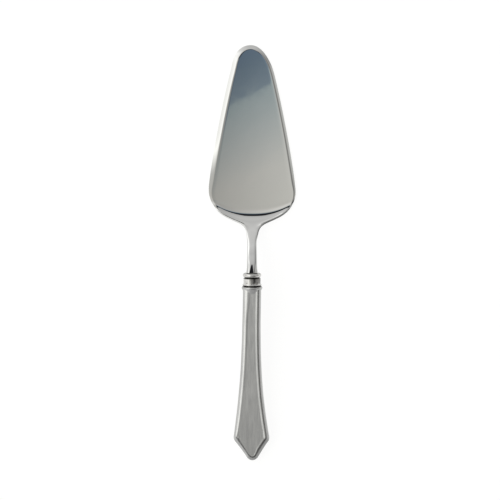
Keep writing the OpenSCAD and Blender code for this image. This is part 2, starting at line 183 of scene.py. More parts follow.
room_tone = add_node(tree, "ShaderNodeValToRGB", {0: to_tip.outputs[0]},
                     stops=[((lean + 1) / 2, linear(colour)) for lean, colour in room_colour])
near_middle = add_node(tree, "ShaderNodeClamp", {0: lean_x, 1: flag_slant_reach[0], 2: flag_slant_reach[1]})
slant = add_node(tree, "ShaderNodeMath", {0: near_middle.outputs[0], 1: -flag_slant, 2: lean_y},
                 operation="MULTIPLY_ADD")
into_flag = add_node(tree, "ShaderNodeMapRange", {0: slant.outputs[0], 1: flag_from, 2: flag_to})
cloth = add_node(tree, "ShaderNodeValToRGB", {0: into_flag.outputs[0]},
                 stops=[((lean - flag_from) / (flag_to - flag_from), linear(colour)[:3] + [cover])
                        for lean, colour, cover in flag])
narrow = add_node(tree, "ShaderNodeMapRange",
                  {0: lean_y, 1: flag_narrows[0], 2: flag_narrows[1], 3: 1, 4: flag_narrow_to})
middle = add_node(tree, "ShaderNodeMapRange",
                  {0: lean_y, 1: flag_narrows[0], 2: flag_narrows[1], 3: flag_middle[0], 4: flag_middle[1]})
aside = add_node(tree, "ShaderNodeMath", {0: lean_x, 1: middle.outputs[0]}, operation="SUBTRACT")
spread = add_node(tree, "ShaderNodeMath", {0: aside.outputs[0], 1: narrow.outputs[0]}, operation="DIVIDE")
off_middle = add_node(tree, "ShaderNodeMath", {0: spread.outputs[0]}, operation="ABSOLUTE")
width = add_node(tree, "ShaderNodeMapRange",
                 {0: off_middle.outputs[0], 1: flag_half_width[0], 2: flag_half_width[1], 3: 1, 4: 0},
                 interpolation_type="SMOOTHSTEP")
length = add_node(tree, "ShaderNodeMapRange", {0: lean_y, 1: flag_end[0], 2: flag_end[1], 3: 1, 4: 0})
whole = add_node(tree, "ShaderNodeMath", {0: width.outputs[0], 1: length.outputs[0]}, operation="MULTIPLY")
left_end = add_node(tree, "ShaderNodeMapRange",
                    {0: lean_y, 1: flag_cut[0], 2: flag_cut[1], 3: flag_left[0], 4: flag_left[1]})
from_left = add_node(tree, "ShaderNodeMath", {0: lean_x, 1: left_end.outputs[0]}, operation="SUBTRACT")
right_of_cut = add_node(tree, "ShaderNodeMapRange",
                        {0: from_left.outputs[0], 1: -flag_left_soft, 2: flag_left_soft})
area = add_node(tree, "ShaderNodeMath", {0: whole.outputs[0], 1: right_of_cut.outputs[0]},
                operation="MULTIPLY")
cover = add_node(tree, "ShaderNodeMath", {0: cloth.outputs["Alpha"], 1: area.outputs[0]},
                 operation="MULTIPLY")
flagged = add_node(tree, "ShaderNodeMix", {0: cover.outputs[0], 6: room_tone.outputs[0], 7: cloth.outputs[0]},
                   data_type="RGBA")
upper_room = add_node(tree, "ShaderNodeMix", {0: 1, 6: across.outputs[2], 7: flagged.outputs[2]},
                      data_type="RGBA", blend_type="MULTIPLY")
horizon = add_node(tree, "ShaderNodeValToRGB", {0: to_right.outputs[0]}, stops=grey_stops(horizon_level))
low = add_node(tree, "ShaderNodeMapRange", {0: lean_up, 1: horizon_from, 2: horizon_to},
               interpolation_type="SMOOTHSTEP")
low_back = add_node(tree, "ShaderNodeMath", {0: low.outputs[0], 1: near.outputs[0]}, operation="MULTIPLY")
room = add_node(tree, "ShaderNodeMix",
                {0: low_back.outputs[0], 6: upper_room.outputs[2], 7: horizon.outputs[0]}, data_type="RGBA")
studio = add_node(tree, "ShaderNodeBackground", {"Color": room.outputs[2]})
paper = add_node(tree, "ShaderNodeBackground", {"Color": linear("#ffffff")})
path = add_node(tree, "ShaderNodeLightPath")
seen = add_node(tree, "ShaderNodeMixShader",
                {0: path.outputs["Is Camera Ray"], 1: studio.outputs[0], 2: paper.outputs[0]})
add_node(tree, "ShaderNodeOutputWorld", {"Surface": seen.outputs[0]})

# Table. A sheet of matt white paper under the server. It is lifted to the photo's white for the camera and in
# mirrors, so that only the server's soft shadow greys it, and it doesn't hide the server from below.
table_size = 8
table_gap = 0.2 * MM
paper_lift = 0.88
bpy.ops.object.select_all(action="DESELECT")
bpy.ops.mesh.primitive_plane_add(size=table_size, location=(0, 0, -table_gap))
table = bpy.context.object
table.name = "table"
white_paper = bpy.data.materials.new("white_paper")
white_paper.use_nodes = True
tree = white_paper.node_tree
tree.nodes.clear()
path = add_node(tree, "ShaderNodeLightPath")
mirrored = add_node(tree, "ShaderNodeMath",
                    {0: path.outputs["Is Glossy Ray"], 1: path.outputs["Is Transmission Ray"]},
                    operation="ADD")
seen = add_node(tree, "ShaderNodeMath", {0: path.outputs["Is Camera Ray"], 1: mirrored.outputs[0]},
                operation="ADD", use_clamp=True)
lift = add_node(tree, "ShaderNodeMath", {0: seen.outputs[0], 1: paper_lift}, operation="MULTIPLY")
matt = add_node(tree, "ShaderNodeBsdfDiffuse", {"Color": linear("#7c7c7a")})
glow = add_node(tree, "ShaderNodeEmission", {"Strength": lift.outputs[0]})
from_above = add_node(tree, "ShaderNodeAddShader", {0: matt.outputs[0], 1: glow.outputs[0]})
from_below = add_node(tree, "ShaderNodeBsdfTransparent")
face_side = add_node(tree, "ShaderNodeNewGeometry")
one_way = add_node(tree, "ShaderNodeMixShader",
                   {0: face_side.outputs["Backfacing"], 1: from_above.outputs[0], 2: from_below.outputs[0]})
add_node(tree, "ShaderNodeOutputMaterial", {"Surface": one_way.outputs[0]})
table.data.materials.append(white_paper)

# Blade. One forging of stainless steel: a flat plate with a ground border, creased across the heel, whose
# shoulders rise and draw in to a round shank. The shank flares to a seat on the collar and ends in a notched
# tang that is cemented into the handle.
plate_t = 1.8
widest_l = 98.2
crease_l = 107.8
heel_bow, bow_power = 5.7, 2.4
blade_l = crease_l + heel_bow
neck_l, narrow_l = 126.5, 134
flare_l, collar_l = 147.2, 153.6
neck_t, shank_t, flare_d = 3.2, 4.8, 8.2
shank_side, shank_square = 0.24, 3
shank_end_w = 6.8
# How far behind the crease the plate starts to turn into a bar, and over what length
bar_from, bar_reach = 3, 20
handle_tilt = math.radians(6)
collar_z = 16.82
root_r = 2.5
# How far it is from the shank's end, and the half width and half thickness of the tang there
tang = [(14.1, 2.5, 2.5), (15, 2.3, 1.2), (28.5, 2.3, 1.2), (29, 1.4, 1.2), (34, 1.4, 1.2), (34.5, 2.3, 1.2),
        (49.4, 2.3, 1.2), (49.9, 1.4, 1.2), (54.9, 1.4, 1.2), (55.4, 2.3, 1.2), (71, 2.3, 1.2),
        (72.1, 1.8, 0.9)]
tip_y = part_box("blade")[1].y / MM
# Half of the outline as curves, each with its two ends and two handles: across from the middle, back from the
# tip
blade_edge = [((0, 0), (7.45, 0), (12.5, 9.4), (15.5, 21.4)),
              ((15.5, 21.4), (22.7, 51.35), (29.3, 90.5), (29.3, 98.2)),
              ((29.3, 98.2), (29.3, 106.2), (24.9, 111.7), (18.7, 115.2)),
              ((18.7, 115.2), (9.6, 119.9), (4.9, 119.6), (3.95, 126.5)),
              ((3.95, 126.5), (3.7, 128.4), (3.15, 130.2), (3.15, 134))]
curve_points = 80
flare_steps = (0.2, 0.4, 0.6, 0.8, 1)
# The rows of its skin follow the first curve. Behind it they lie closest at the crease: from, to and how many
tip_rows = 40
close_from, close_to = crease_l - 2, crease_l + 5
row_spans = [(22.5, widest_l, 60), (widest_l, close_from, 16), (close_from, close_to, 40),
             (close_to, neck_l, 36), (neck_l, flare_l, 26), (flare_l, collar_l, 16)]
plate_columns, under_columns = 22, 30
# Slope of the top in degrees, by how far behind the crease it is: a shallow hollow in front of it, the crease
# itself, the shoulders, the shank and its end on the collar
top_slope = [(-6, 0), (-3.5, 0.5), (-1.2, -2), (-0.4, -2.4), (0, 0), (2, 13), (3.5, 20), (7.4, 28),
             (12.8, 36), (20, 37), (29, 23), (33.5, 16), (35, 12.9), (collar_l - blade_l, 7.4)]
top_points = 400
# Slope of the ground border in degrees, by how far out from its inner line it is. The left one was ground
# more crisply, and the right one is like it at the tip and differs fully from this half width on.
border_at = (0, 0.2, 0.4, 0.7, 1, 1.4, 2.2, 3.1)
left_slope = (0, 8, 14, 17, 19, 20.5, 22, 23)
right_slope = (0, 1.3, 2, 2.8, 5, 12, 21, 23)
alike_w = 9
# Towards the heel the border narrows and is shallower: by what share, from which distance from the tip, and
# over what length
border_narrows = (0.4, 90, 14)
left_shallows, right_shallows = (0.76, 58, 34), (0.25, 75, 25)
# At the heel a rounded edge takes over: its radius, from which distance and over what length, and its steps
# inwards as shares of the radius
left_round, right_round = 0.3, 0.7
left_rounds, right_rounds = (108, 5), (105, 6)
round_share = (0, 0.12, 0.28, 0.48, 0.72, 1, 1.4, 1.8)
# It was forged by hand and isn't quite true: how far its middle strays to the right, by the distance from the
# tip, and how much fuller the tip is on the left
blade_stray = [(0, -0.9), (6, -0.5), (14, 0), (95, 0), (108, 0.5), (120, 0.5), (130, 0)]
tip_fuller, tip_full_l = 0.17, 20
# Points of a skin that are closer than this are merged
skin_weld = 0.002


def along_curve(knots, count):
    """Points along one curve of an outline, both ends included."""
    return interpolate_bezier(*[Vector(knot) for knot in knots], count)


def eased(share):
    """A smooth step from 0 to 1."""
    share = min(max(share, 0), 1)
    return share * share * (3 - 2 * share)


edge_line = [point for knots in blade_edge for point in along_curve(knots, curve_points)[1:]]
edge_at = [point.y for point in edge_line] + [flare_l]
edge_at += [flare_l + share * (collar_l - flare_l) for share in flare_steps]
edge_x = [point.x for point in edge_line] + [shank_end_w / 2]
edge_x += [(shank_end_w + (flare_d - shank_end_w) * share ** 2) / 2 for share in flare_steps]
stations = np.concatenate([np.linspace(*row_spans[0])] + [np.linspace(*span)[1:] for span in row_spans[1:]])
edge_points = [tuple(point) for point in along_curve(blade_edge[0], tip_rows)]
edge_points += [(float(np.interp(d, edge_at, edge_x)), float(d)) for d in stations]


def rise_along(slopes):
    """How far a line has risen at each of its points, from its slopes."""
    at, slope = np.array(slopes).T
    pitch = np.tan(np.radians(slope))
    return np.concatenate([[0], np.cumsum((pitch[1:] + pitch[:-1]) / 2 * np.diff(at))])


top_at = np.linspace(top_slope[0][0], top_slope[-1][0], top_points)
top_lean = np.interp(top_at, *zip(*top_slope))
top_z = plate_t + rise_along(list(zip(top_at, top_lean)))
ground_in = [border_at[-1] - run for run in border_at[::-1]]
left_fall = rise_along(list(zip(border_at, left_slope)))[::-1]
right_fall = rise_along(list(zip(border_at, right_slope)))[::-1]
round_fall = [1 - math.sqrt(1 - max(0, 1 - share) ** 2) for share in round_share]


def forged_row(i):
    """One ring of the blade's skin, from the left edge over the top, and back underneath."""
    x, d = edge_points[i]
    ahead = edge_points[i - 1] if i else (-edge_points[1][0], edge_points[1][1])
    behind = edge_points[min(i + 1, len(edge_points) - 1)]
    run = Vector((behind[0] - ahead[0], behind[1] - ahead[1])).normalized()
    inward = Vector((-1, 0)) if d > widest_l else Vector((-run.y, run.x))
    bow = heel_bow * (eased((d - widest_l) / (crease_l - widest_l)) if d < crease_l
                      else 1 - eased((d - crease_l) / (neck_l - crease_l)))
    q = d + bow - blade_l
    barred = eased((q - bar_from) / bar_reach)
    top = float(np.interp(q, top_at, top_z))
    lean = math.radians(float(np.interp(q, top_at, top_lean)))
    thick = float(np.interp(d + bow, (blade_l, neck_l, narrow_l, collar_l),
                            (plate_t, neck_t, shank_t, flare_d)))
    narrows, narrows_from, narrows_reach = border_narrows
    narrowing = 1 - narrows * eased((d - narrows_from) / narrows_reach)
    own = eased(x / alike_w)
    right_ground = [a + (b - a) * own for a, b in zip(left_fall, right_fall)]
    sides = []
    for ground, (loss, loss_from, loss_reach), radius, (round_from, round_reach) in (
            (left_fall, left_shallows, left_round, left_rounds),
            (right_ground, right_shallows, right_round, right_rounds)):
        shallow = 1 - loss * eased((d - loss_from) / loss_reach)
        behind_heel = eased((d - round_from) / round_reach)
        steps = [a * narrowing * (1 - behind_heel) + b * radius * behind_heel
                 for a, b in zip(ground_in, round_share)]
        falls = [a * shallow * narrowing * (1 - behind_heel) + b * radius * behind_heel
                 for a, b in zip(ground, round_fall)]
        sides.append([(*(Vector((x, d)) + step * inward), plate_t / 2 - fall)
                      for step, fall in zip(steps, falls)])
    left, right = sides
    plate = []
    for share in np.linspace(-1, 1, plate_columns)[1:-1]:
        inner_x, inner_d = (left if share < 0 else right)[-1][:2]
        plate.append((share * inner_x, inner_d + bow * (1 - abs(share) ** bow_power), plate_t / 2))
    upper = [(-p[0], p[1], p[2]) for p in left] + plate + right[::-1]
    under = [(share * x, d + bow * (1 - abs(share) ** bow_power), plate_t / 2 - min(top, plate_t))
             for share in np.linspace(1, -1, under_columns)]
    stray = float(np.interp(d, *zip(*blade_stray)))
    fuller = 1 + tip_fuller * (1 - eased(d / tip_full_l))
    ring = []
    for points, up in ((upper, 1), (under, -1)):
        for k, (px, pd, ph) in enumerate(points):
            turn = math.pi * (k / (len(points) - 1) - 0.5) * up
            crown = (1 - abs(math.sin(turn)) ** shank_square) ** (1 / shank_square)
            round_h = up * thick / 2 * (shank_side + (1 - shank_side) * crown)
            ph -= plate_t / 2
            h = ph + (round_h - thick / 2 - ph) * barred
            px += (x * math.sin(turn) - px) * barred
            px = stray + (px if px > 0 else px * fuller)
            ring.append((px, tip_y - pd + h * math.sin(lean), top + h * math.cos(lean)))
    return ring


def select_faces(piece, test):
    """Selects, in edit mode, the faces that pass a test."""
    bpy.ops.mesh.select_mode(type="FACE")
    mesh = bmesh.from_edit_mesh(piece.data)
    for face in mesh.faces:
        face.select_set(test(face))
    bmesh.update_edit_mesh(piece.data)


def skin(name, rings):
    """Wraps a grid round a row of closed rings and closes both ends. It leaves the piece in edit mode."""
    rows = np.array([[*ring, ring[0]] for ring in rings]) * MM
    bpy.ops.object.select_all(action="DESELECT")
    bpy.ops.mesh.primitive_grid_add(x_subdivisions=rows.shape[1] - 1, y_subdivisions=rows.shape[0] - 1)
    piece = bpy.context.object
    piece.name = name
    piece.data.vertices.foreach_set("co", rows.ravel())
    bpy.ops.object.mode_set(mode="EDIT")
    bpy.ops.mesh.select_all(action="SELECT")
    bpy.ops.mesh.remove_doubles(threshold=skin_weld * MM)
    bpy.ops.mesh.fill_holes(sides=0)
    bpy.ops.mesh.select_all(action="SELECT")
    bpy.ops.mesh.normals_make_consistent(inside=False)
    return piece


blade = skin("forged_blade", [forged_row(i) for i in range(len(edge_points))])
# The tang, drawn out of the shank's end: a round root through the collar, then a flat bar with two pairs of
# notches
select_faces(blade, lambda face: len(face.verts) > 4)
bpy.ops.mesh.inset(thickness=(flare_d / 2 - root_r) * MM)
into_handle = Vector((0, -math.cos(handle_tilt), -math.sin(handle_tilt)))
shank_end = Vector((0, tip_y - collar_l, collar_z))
made, made_w, made_t = 0, root_r, root_r
for reach, half_w, half_t in tang:
    bpy.ops.mesh.extrude_region_move(TRANSFORM_OT_translate={"value": into_handle * (reach - made) * MM})
    bpy.ops.transform.resize(value=(half_w / made_w, 1, half_t / made_t),
                             center_override=(shank_end + into_handle * reach) * MM)
    made, made_w, made_t = reach, half_w, half_t
bpy.ops.object.mode_set(mode="OBJECT")
blade_smooth = math.radians(25)
bpy.ops.object.shade_smooth_by_angle(angle=blade_smooth)

# Stainless steel, forged and then buffed: a bright mirror, a little wavy, with a faint haze of wipe marks.
# The steep flank of the right shoulder, which faces away from the light, is painted dark grey as painted
# shade, and it is also rougher.
wave_w, wave_d = 22, 0.012
smear_w, smear_from, smear_to = 9, 0.35, 0.7
mirror_rough, smear_rough, dull_rough = 0.015, 0.05, 0.35
# That flank is known by how level it is, how far it faces right, and its distance from the tip
flank_from, flank_to = 0.77, 0.68
facing_right = 0.2
shoulder_from, shoulder_to = (104, 108), (132, 127)
steel = bpy.data.materials.new("polished_stainless_steel")
steel.use_nodes = True
tree = steel.node_tree
shader = tree.nodes["Principled BSDF"]
shader.inputs["Metallic"].default_value = 1
place = add_node(tree, "ShaderNodeTexCoord")
facing = add_node(tree, "ShaderNodeNewGeometry")
normal = add_node(tree, "ShaderNodeSeparateXYZ", {0: facing.outputs["Normal"]})
upright = add_node(tree, "ShaderNodeMath", {0: normal.outputs["Z"]}, operation="ABSOLUTE")
flank = add_node(tree, "ShaderNodeMapRange", {0: upright.outputs[0], 1: flank_from, 2: flank_to})
rightward = add_node(tree, "ShaderNodeMapRange", {0: normal.outputs["X"], 1: 0, 2: facing_right})
right_flank = add_node(tree, "ShaderNodeMath", {0: flank.outputs[0], 1: rightward.outputs[0]},
                       operation="MULTIPLY")
spot = add_node(tree, "ShaderNodeSeparateXYZ", {0: place.outputs["Object"]})
behind = add_node(tree, "ShaderNodeMapRange", {0: spot.outputs["Y"], 1: (tip_y - shoulder_from[0]) * MM,
                                               2: (tip_y - shoulder_from[1]) * MM})
before = add_node(tree, "ShaderNodeMapRange", {0: spot.outputs["Y"], 1: (tip_y - shoulder_to[0]) * MM,
                                               2: (tip_y - shoulder_to[1]) * MM})
shoulder = add_node(tree, "ShaderNodeMath", {0: behind.outputs[0], 1: before.outputs[0]},
                    operation="MULTIPLY")
# Mask of the painted shade on the right shoulder's flank, which also makes it rougher
shaded_dull_flank = add_node(tree, "ShaderNodeMath", {0: right_flank.outputs[0], 1: shoulder.outputs[0]},
                operation="MULTIPLY")
# Painted shade: the right flank is given a dark grey instead of the steel's own
tone = add_node(tree, "ShaderNodeMix", {0: shaded_dull_flank.outputs[0], 6: linear("#d0d0ce"), 7: linear("#5c5c5a")},
                data_type="RGBA")
tree.links.new(tone.outputs[2], shader.inputs["Base Color"])
wave = add_node(tree, "ShaderNodeTexNoise",
                {"Vector": place.outputs["Object"], "Scale": 1 / (wave_w * MM), "Detail": 2})
dents = add_node(tree, "ShaderNodeBump", {"Height": wave.outputs[0], "Distance": wave_d * MM, "Strength": 1})
tree.links.new(dents.outputs[0], shader.inputs["Normal"])
smear = add_node(tree, "ShaderNodeTexNoise", {"Vector": place.outputs["Object"], "Scale": 1 / (smear_w * MM),
                                              "Detail": 5, "Distortion": 0.6})
haze = add_node(tree, "ShaderNodeMapRange",
                {0: smear.outputs[0], 1: smear_from, 2: smear_to, 3: mirror_rough, 4: smear_rough})
rough = add_node(tree, "ShaderNodeMath", {0: shaded_dull_flank.outputs[0], 1: dull_rough, 2: haze.outputs[0]},
                 operation="MULTIPLY_ADD")
tree.links.new(rough.outputs[0], shader.inputs["Roughness"])
blade.data.materials.append(steel)
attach(blade, "root")
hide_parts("blade")

# Collar. A ring of pewter turned from a casting: a round bead against the shank, a groove, a waist, a coved
# foot and a fine groove over its seat, with a spigot below that plugs into the mouth of the handle. The tang
# passes through its bore.
bore_r, spigot_r, spigot_l = 2.6, 3.5, 5
seat_r, seat_h = 6.6, 0.2
line_r, line_h, line_ease = 6.05, 0.85, 0.1
foot_r, foot_h, foot_round = 6.5, 1.45, 0.2
waist_r, waist_l = 5.7, 2.8
groove_r, groove_at, groove_w = 5.0, 5.75, 0.6
bead_r, bead_l = 6.2, 9.1
turn_steps, turn_weld = 96, 0.001
joint_y = tip_y - collar_l - bead_l * math.cos(handle_tilt)
joint_z = collar_z - bead_l * math.sin(handle_tilt)


def arc(middle, radius, start, end, count):
    """Points on an arc, with its angles in degrees."""
    turns = [math.radians(turn) for turn in np.linspace(start, end, count)]
    return [(middle[0] + radius * math.cos(turn), middle[1] + radius * math.sin(turn)) for turn in turns]


def draw_loop(name, points):
    """A closed line of points in the plane, made from a circle."""
    bpy.ops.object.select_all(action="DESELECT")
    bpy.ops.mesh.primitive_circle_add(vertices=len(points), fill_type="NOTHING")
    bpy.context.object.name = name
    bpy.context.object.data.vertices.foreach_set("co", [c * MM for p in points for c in (p[0], p[1], 0)])
    return bpy.context.object


def turn_on_axis(steps):
    """Turns the active loop once round the long axis into a closed ring."""
    bpy.ops.object.mode_set(mode="EDIT")
    bpy.ops.mesh.select_all(action="SELECT")
    bpy.ops.mesh.spin(steps=steps, angle=2 * math.pi, center=(0, 0, 0), axis=(0, 1, 0))
    bpy.ops.mesh.select_all(action="SELECT")
    bpy.ops.mesh.remove_doubles(threshold=turn_weld * MM)
    bpy.ops.mesh.normals_make_consistent(inside=False)
    bpy.ops.object.mode_set(mode="OBJECT")


def set_on_handle_axis(piece):
    """Tilts a piece made along the Y axis on to the handle's axis, and applies that to its mesh."""
    piece.location = (0, joint_y * MM, joint_z * MM)
    piece.rotation_euler = (handle_tilt, 0, 0)
    bpy.ops.object.select_all(action="DESELECT")
    piece.select_set(True)
    bpy.context.view_layer.objects.active = piece
    bpy.ops.object.transform_apply(location=True, rotation=True, scale=True)


bead_round = (bead_l - groove_at - groove_w) / 2
cove_r = foot_r - foot_round / 2
collar_profile = [(bore_r, -spigot_l), (spigot_r, -spigot_l), (spigot_r, 0)]
collar_profile += [(seat_r, 0), (seat_r, seat_h), (line_r, seat_h + line_ease), (line_r, line_h - line_ease)]
collar_profile += arc((foot_r - foot_round, foot_h - foot_round), foot_round, 0, 60, 4)
collar_profile += [(cove_r + (cove_r - waist_r) * r, waist_l + (waist_l - foot_h) * v)
                   for r, v in arc((0, 0), 1, 270, 180, 9)]
collar_profile += [(waist_r, groove_at), (groove_r, groove_at), (groove_r, groove_at + groove_w)]
collar_profile += arc((bead_r - bead_round, bead_l - bead_round), bead_round, -90, 90, 15)
collar_profile += [(bore_r, bead_l)]
collar = draw_loop("turned_collar", collar_profile)
turn_on_axis(turn_steps)
set_on_handle_axis(collar)
collar_smooth = math.radians(35)
bpy.ops.object.shade_smooth_by_angle(angle=collar_smooth)

# Pewter off the lathe: brighter and glossier than the casting, with slightly uneven gloss. Its tones run up
# from
# the joint: the grooves and the joints are dark with tarnish and painted shade, the waist is darker as
# painted shade, the foot's rounded rim and the bead's crown are lighter as painted highlights, and the left
# of the waist has a painted highlight.
# Tarnish, painted shade and painted highlights, by the distance up from the joint
collar_tone_and_light = [(0, "#a09f9c"), (0.18, "#8a8986"), (0.25, "#161514"), (0.88, "#1c1b1a"), (1, "#c6c5c2"),
               (1.8, "#c6c5c2"), (2.4, "#a3a29f"), (2.9, "#858482"), (5.4, "#7c7b78"), (5.65, "#4a4947"),
               (5.8, "#282725"), (6.3, "#282725"), (6.5, "#8e8d8a"), (6.9, "#c6c5c2"), (7.8, "#d4d3d0"),
               (8.7, "#c0bfbc"), (9.05, "#7a7976")]
# Where the painted highlight lies: to the left of the middle, and from where to where up from the joint
highlight_from, highlight_to = -1.6, -2.4
waist_from, waist_to = (1, 1.4), (5.2, 5.6)
wear_w, wear_d = 2.5, 0.12
wear_from, wear_to = 0.3, 0.7
turned_rough, worn_rough = 0.1, 0.22
turned = bpy.data.materials.new("turned_pewter")
turned.use_nodes = True
tree = turned.node_tree
shader = tree.nodes["Principled BSDF"]
shader.inputs["Metallic"].default_value = 1
place = add_node(tree, "ShaderNodeTexCoord")
axis = Vector((0, math.cos(handle_tilt), math.sin(handle_tilt)))
joint_at = axis.dot(Vector((0, joint_y, joint_z)))
on_axis = add_node(tree, "ShaderNodeVectorMath", {0: place.outputs["Object"], 1: axis},
                   operation="DOT_PRODUCT")
up_collar = add_node(tree, "ShaderNodeMapRange",
                     {0: on_axis.outputs["Value"], 1: joint_at * MM, 2: (joint_at + bead_l) * MM})
tone = add_node(tree, "ShaderNodeValToRGB", {0: up_collar.outputs[0]},
                stops=[(at / bead_l, linear(colour)) for at, colour in collar_tone_and_light])
wear = add_node(tree, "ShaderNodeTexNoise",
                {"Vector": place.outputs["Object"], "Scale": 1 / (wear_w * MM), "Detail": 3})
spot = add_node(tree, "ShaderNodeSeparateXYZ", {0: place.outputs["Object"]})
on_left = add_node(tree, "ShaderNodeMapRange", {0: spot.outputs["X"], 1: highlight_from * MM, 2: highlight_to * MM})
under_groove = add_node(tree, "ShaderNodeMapRange", {0: up_collar.outputs[0], 1: waist_to[0] / bead_l,
                                                     2: waist_to[1] / bead_l, 3: 1, 4: 0})
over_line = add_node(tree, "ShaderNodeMapRange", {0: up_collar.outputs[0], 1: waist_from[0] / bead_l,
                                                  2: waist_from[1] / bead_l})
on_waist = add_node(tree, "ShaderNodeMath", {0: under_groove.outputs[0], 1: over_line.outputs[0]},
                    operation="MULTIPLY")
# A painted highlight on the left of the waist, on the side the light comes from
left_highlight = add_node(tree, "ShaderNodeMath", {0: on_waist.outputs[0], 1: on_left.outputs[0]},
                  operation="MULTIPLY")
metal = add_node(tree, "ShaderNodeMix", {0: left_highlight.outputs[0], 6: tone.outputs[0], 7: linear("#d0cfcc")},
                 data_type="RGBA")
tree.links.new(metal.outputs[2], shader.inputs["Base Color"])
gloss = add_node(tree, "ShaderNodeMapRange",
                 {0: wear.outputs[0], 1: wear_from, 2: wear_to, 3: turned_rough, 4: worn_rough})
tree.links.new(gloss.outputs[0], shader.inputs["Roughness"])
uneven = add_node(tree, "ShaderNodeBump", {"Height": wear.outputs[0], "Distance": wear_d * MM, "Strength": 1})
tree.links.new(uneven.outputs[0], shader.inputs["Normal"])
collar.data.materials.append(turned)
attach(collar, "root")
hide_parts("collar")

# Handle. Two hollow halves cast in pewter, each with a swelling bevel, a raised border and a sunk panel, that
# flare to a shield-shaped end. Each has half of a round lip at the mouth, against the collar. The back half
# is cast from the same pattern as the front, and the two are soldered together.
throat_t, end_t, handle_l = 10.8, 7.6, 117.4
bevel_w, bevel_h, bevel_swell = 2.5, 1.7, 0.4
raised_w, panel_d, wall = 1.4, 0.18, 1.4
hollow_wall_h, hollow_roof_h, hollow_in = 3.126, 3.65, 1.674
seam_t = 0.3
lip_l, lip_round = 2.75, 0.8
lip_d, throat_w = 13.9, 12.1
mouth_r = 3.6
sunk_r, sunk_l = 4.6, 5.6
# The body is made longer at the mouth and cut off inside the lip
front_spare, front_cut = 6, 1
# Half of the outline, across from the middle and down from the joint: the flaring side, the cut corner, the
# slant of the shield's foot and its round end
body_curve = ((6.05, 1.75), (6, 46), (6.65, 66.8), (11.95, 101.6))
cut_corner = (11.85, 102.75)
foot_curve = ((11.45, 103.85), (9.4, 106.5), (5.6, 112.1), (3.27, 115.95))
end_round, end_from = 3.9, 33
body_points, foot_points, end_points = 48, 12, 9
# The bevel's steps inwards, where they lie on the shield's foot instead, and where that begins
bevel_at = (0, 0.292, 0.633, 1.025, 1.467, 1.958, 2.5)
foot_bevel_at = (0, 0.2, 0.7, 1.2, 1.58, 2.12, 2.62)
foot_from, foot_reach = 97, 6
# The border's slope down to the panel: how far in from the crest, and the share of the panel's depth there
border_rings = ((0.2, 0.03), (0.4, 0.16), (1, 0.84), (1.2, 0.97), (raised_w, 1), (raised_w + 0.2, 1))
# Corners of its section that turn by more than this are rounded over this reach, or over this share of a side
# that is short
sharp_angle, edge_soft, short_share = math.radians(20), 0.4, 0.45
# The casting isn't quite true: how much wider its bevel is on the left at the throat, and where that ends
throat_uneven, throat_from, throat_reach = 0.3, 6, 18
# By the distance from the joint, as shares of the usual ones: the width of the bevel on the left and on the
# right, and of the border
foot_uneven = [(88, 1, 0.97, 1), (96, 0.9, 0.97, 1), (100, 0.74, 0.97, 1), (101.6, 0.7, 1.02, 1),
               (102.75, 1.08, 1.12, 1), (104, 1.36, 1.3, 1), (107, 1.12, 1.3, 0.85), (111, 0.97, 1.34, 0.55),
               (113.5, 0.86, 1.16, 0.4), (115.5, 0.98, 1.05, 0.35), (117.4, 1.2, 1.2, 0.35)]
# By the same distance: the share of its depth that the panel loses on the left and on the right, or gains
# where it is less than 0
panel_lift = [(20, 0.1, 0), (45, 0.2, 0), (63, 0.45, 0), (74, 0.7, -0.15), (84, 0.8, -0.7), (98, 0.8, -0.8),
              (103, 0.6, 0.6)]
# By the same distance: how far its middle strays to the right
handle_stray = [(4, 0), (25, -0.36), (44, -0.58), (74, -0.72), (90, -0.57), (101, -0.4), (107, -0.1),
                (113, 0.25)]
half_outline = [(throat_w / 2, -front_spare)]
half_outline += [tuple(p) for p in along_curve(body_curve, body_points)] + [cut_corner]
half_outline += [tuple(p) for p in along_curve(foot_curve, foot_points)]
half_outline += arc((0, handle_l - end_round), end_round, end_from, 90, end_points)[1:]
outline = [(-x, -u) for x, u in half_outline] + [(x, -u) for x, u in half_outline[-2::-1]]
outline = [(x + float(np.interp(-y, *zip(*handle_stray))), y) for x, y in outline]


def softened(profile, reach):
    """A profile whose sharp corners are rounded over a short reach on both sides."""
    soft = [profile[0]]
    for before, corner, after in zip(profile, profile[1:], profile[2:]):
        a, b, c = Vector(before), Vector(corner), Vector(after)
        if (b - a).angle(c - b) < sharp_angle:
            soft.append(corner)
            continue
        into = b + (a - b).normalized() * min(reach, (a - b).length * short_share)
        out = b + (c - b).normalized() * min(reach, (c - b).length * short_share)
        for t in (0, 0.25, 0.5, 0.75, 1):
            soft.append(tuple(into * (1 - t) ** 2 + b * (2 * t * (1 - t)) + out * t ** 2))
    return soft + [profile[-1]]


def inset_outline(points, inset):
    """A closed outline drawn in by one distance, but for the uneven bevel and border."""
    drawn = []
    for before, point, after in zip(points[-1:] + points[:-1], points, points[1:] + points[:1]):
        coming = (Vector(point) - Vector(before)).normalized()
        going = (Vector(after) - Vector(point)).normalized()
        inward = Vector((-coming.y - going.y, coming.x + going.x))
        foot = eased((-point[1] - foot_from) / foot_reach)
        down, left, right, border = zip(*foot_uneven)
        on_bevel = min(inset, bevel_w)
        on_bevel += foot * (float(np.interp(on_bevel, bevel_at, foot_bevel_at)) - on_bevel)
        on_bevel *= float(np.interp(-point[1], down, left if point[0] < 0 else right))
        reach = on_bevel + max(inset - bevel_w, 0) * float(np.interp(-point[1], down, border))
        throat = 1 - eased((-point[1] - throat_from) / throat_reach)
        reach *= 1 + throat * throat_uneven * (point[0] < 0)
        drawn.append(Vector(point) + inward * reach / (1 + coming.dot(going)))
    return drawn


